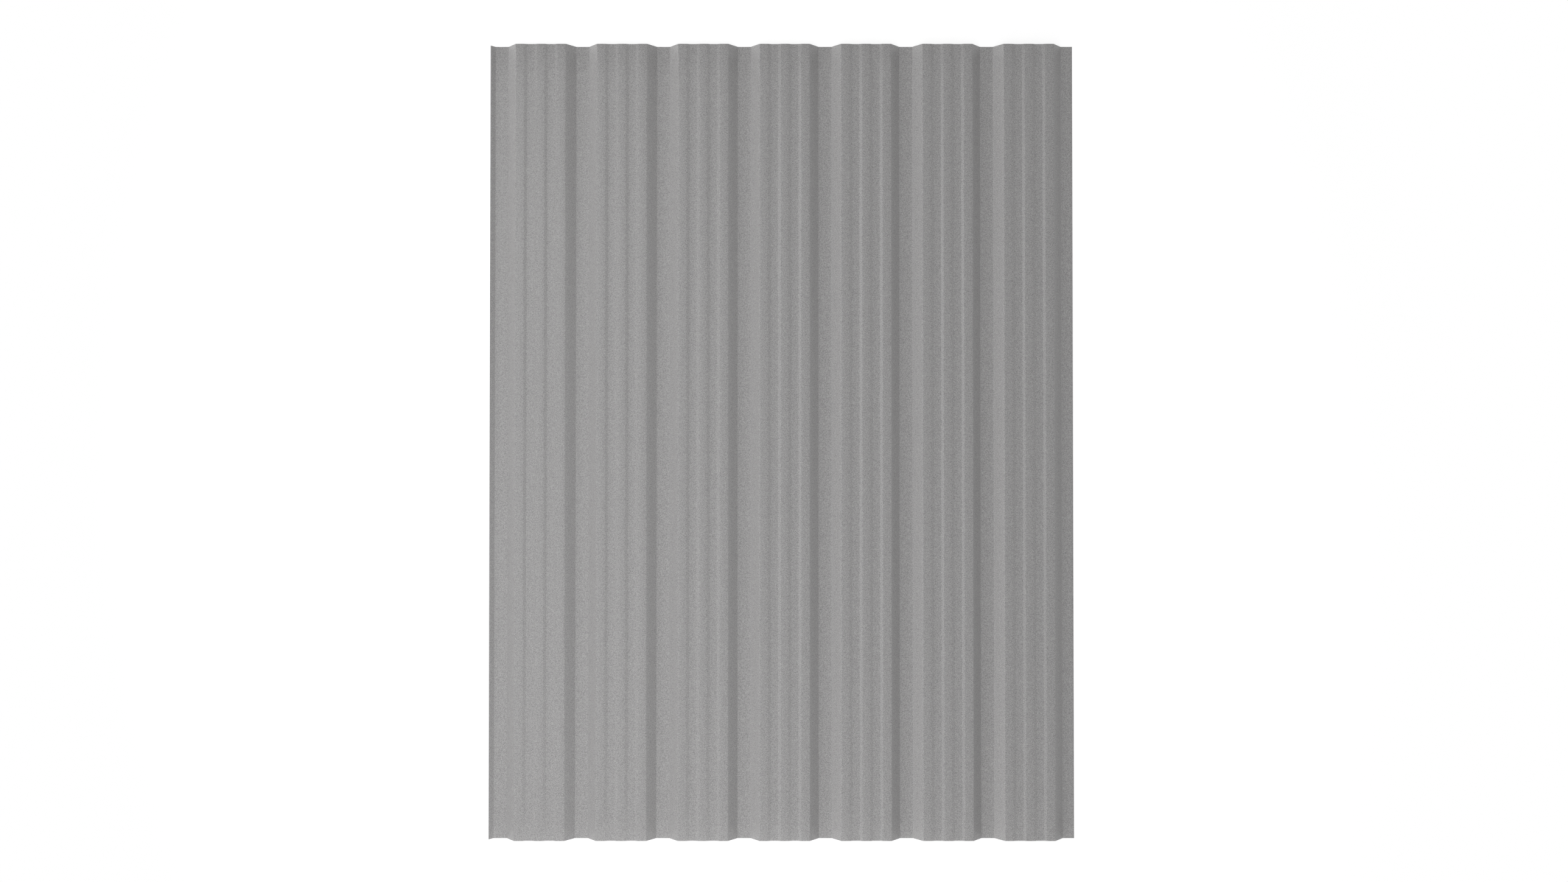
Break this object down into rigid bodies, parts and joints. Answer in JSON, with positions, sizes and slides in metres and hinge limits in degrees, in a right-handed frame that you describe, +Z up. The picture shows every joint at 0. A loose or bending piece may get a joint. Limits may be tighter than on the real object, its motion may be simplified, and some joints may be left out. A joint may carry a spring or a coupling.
{
  "type": "trapezoidal corrugated metal sheet",
  "caption": "Flat-lying roof or wall sheet of thin painted steel with wide, twin-grooved trapezoidal crests, narrow valleys and side-lap edges.",
  "frame": {"origin": "on the floor plane under the middle of the sheet's overall length and width", "axes": "+X across the waves, from the turned-up leg towards the flat flange; +Y along the waves; +Z up, out of the wide crests"},
  "size_m": [1.1042, 1.5, 0.0205],
  "materials": {
    "painted_steel": "matt light grey coil coating with a fine grain"
  },
  "bodies": {
    "root": {"profiled_sheet": "painted_steel"}
  },
  "joints": []
}
